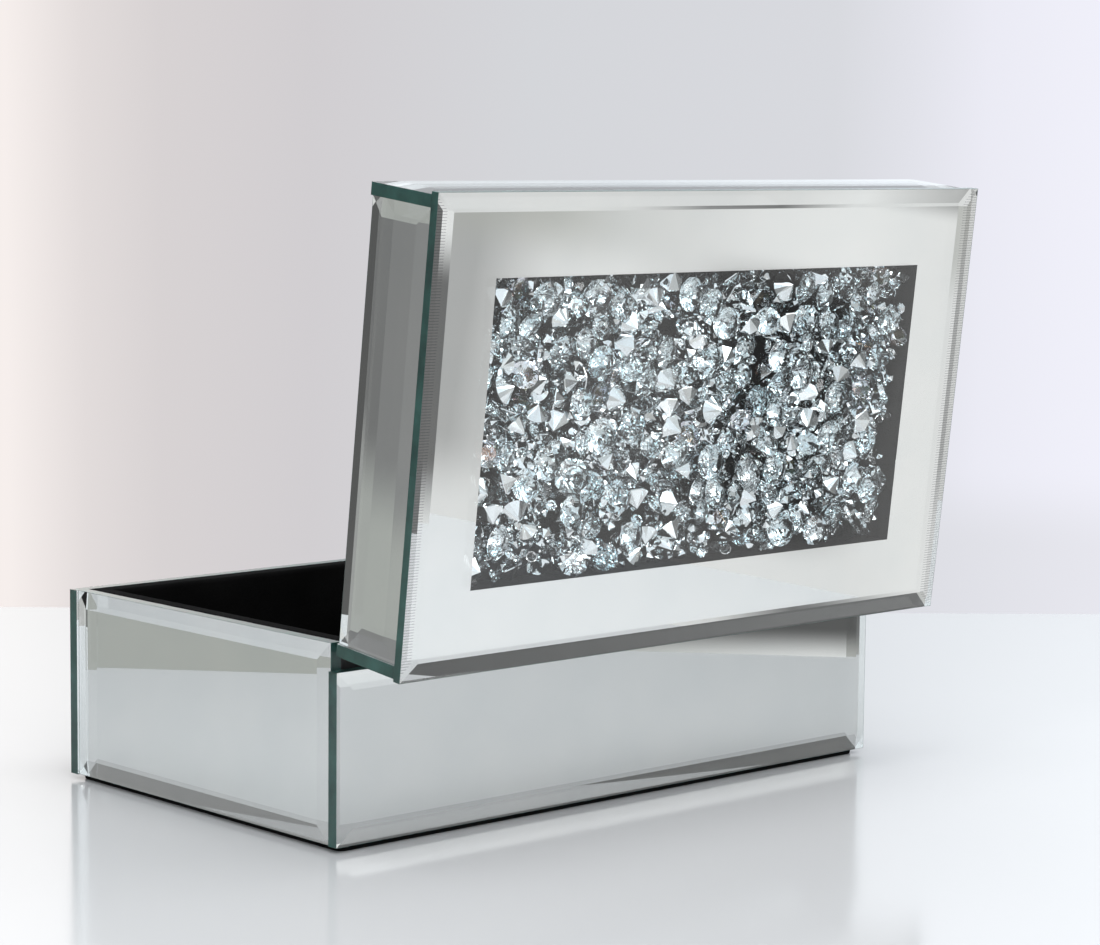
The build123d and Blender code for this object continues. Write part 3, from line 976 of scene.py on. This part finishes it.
RISING = FRONT_LOW + [(127, grey(0.08)), (138, grey(0.11)), (152, grey(0.2)), (172, grey(0.4))]
RISING += BACKDROP + REAR_LEFT
LEVEL = [(0, grey(0.8)), (25, (0.82, 0.87, 0.92)), (105, (0.82, 0.87, 0.92)), (122, grey(0.2))]
LEVEL += [(134, grey(0.1)), (142, grey(0.14)), (152, grey(0.22)), (172, grey(0.4))]
LEVEL += [(196, (0.82, 0.82, 0.88)), (212, (0.96, 0.96, 1.05)), (219.2, (0.84, 0.84, 0.92))]
LEVEL += BACKDROP[3:] + [(275, grey(0.5)), (298, grey(0.27)), (312, grey(0.22))]
LEVEL += [(322, grey(0.12)), (330, grey(0.2)), (342, grey(0.6))]
ABOVE = [(0, grey(1.0)), (25, (0.94, 1.0, 1.06)), (108, (0.94, 1.0, 1.06)), (121, grey(0.1))]
ABOVE += [(150, grey(0.1)), (190, (0.5, 0.52, 0.55)), (216, (1.1, 1.15, 1.22))]
ABOVE += [(225, (0.66, 0.69, 0.73)), (231, (0.62, 0.63, 0.65)), (238, (1.4, 1.34, 1.3))]
ABOVE += [(254, (1.2, 1.15, 1.1)), (266, grey(0.5)), (300, grey(0.3)), (330, grey(0.3)), (342, grey(0.8))]
HIGH = [(0, grey(1.0)), (25, (1.05, 1.14, 1.2)), (110, (1.05, 1.14, 1.2)), (120, grey(0.9))]
HIGH += [(150, grey(0.9)), (160, grey(0.4)), (190, (0.6, 0.62, 0.65)), (212, (1.15, 1.2, 1.28))]
HIGH += [(250, grey(1.2))]
HIGH += [(266, grey(0.5)), (300, grey(0.3)), (330, grey(0.3))]
OVERHEAD = (0.60, 0.65, 0.68, 1)
# What follows the nearest band, and between which sines of the height it takes over.
TAKEOVERS = [
    (LOW, -0.29, -0.264),
    (BELOW, -0.21, -0.19),
    (RISING, -0.172, -0.16),
    (LEVEL, -0.133, -0.105),
    (ABOVE, 0.06, 0.15),
    (HIGH, 0.25, 0.33),
    (OVERHEAD, 0.4, 0.7),
]


def wall_band(stops):
    """Colour by bearing; the stops' bearings are in degrees."""
    return ramp(sky, wrapped.outputs[0], [(a / 360, c) for a, c in stops])


# The Mix node's sockets that carry colours.
MIX_LOWER, MIX_UPPER, MIX_RESULT = 6, 7, 2


def by_height(lower, band, low, high):
    """Blend a colour into a band, or one flat colour, between the sines of two heights."""
    rise = node(sky, "ShaderNodeMapRange", interpolation_type="SMOOTHSTEP")
    rise.inputs["From Min"].default_value = low
    rise.inputs["From Max"].default_value = high
    sky.links.new(parts.outputs["Z"], rise.inputs["Value"])
    blend = node(sky, "ShaderNodeMix", data_type="RGBA")
    sky.links.new(rise.outputs["Result"], blend.inputs["Factor"])
    sky.links.new(lower, blend.inputs[MIX_LOWER])
    if isinstance(band, tuple):
        blend.inputs[MIX_UPPER].default_value = band
    else:
        sky.links.new(wall_band(band), blend.inputs[MIX_UPPER])
    return blend.outputs[MIX_RESULT]


room = wall_band(NEAR)
for band, low, high in TAKEOVERS:
    room = by_height(room, band, low, high)
sky.links.new(room, background.inputs["Color"])
background.inputs["Strength"].default_value = 1.0

bpy.context.scene.view_settings.view_transform = "Standard"
